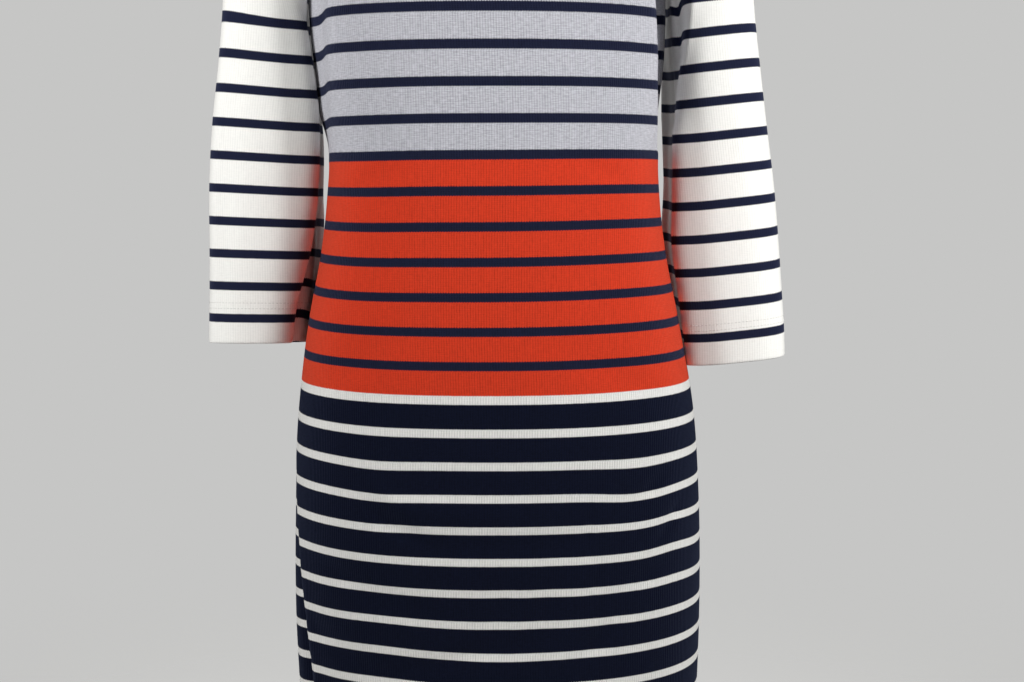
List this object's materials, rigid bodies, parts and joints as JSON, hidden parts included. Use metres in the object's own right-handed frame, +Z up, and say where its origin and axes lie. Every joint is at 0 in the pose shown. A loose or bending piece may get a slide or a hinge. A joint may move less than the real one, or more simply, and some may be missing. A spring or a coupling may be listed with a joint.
{
  "type": "sweater dress",
  "caption": "Fitted colour-blocked striped jersey dress with three-quarter sleeves, hollow in its worn form, open at the neck, cuffs and hem.",
  "frame": {"origin": "middle of the neck opening, level with the neck points at the top of the shoulder seams, where the wearer's neck and shoulders hold the dress up", "axes": "+Z up along the dress from the hem to the neck, the front faces -Y, +X on the right of a viewer who faces the front"},
  "size_m": [0.5242, 0.2497, 0.9267],
  "materials": {
    "body_jersey": "matt cotton jersey: grey marl with navy stripes above, orange with navy stripes at the waist, navy with white stripes below",
    "sleeve_jersey": "matt white cotton jersey with navy stripes",
    "neckband_jersey": "matt grey marl cotton jersey"
  },
  "bodies": {
    "root": {"front": "body_jersey", "back": "body_jersey", "sleeve_left": "sleeve_jersey", "sleeve_right": "sleeve_jersey", "neckband": "neckband_jersey"}
  },
  "joints": []
}
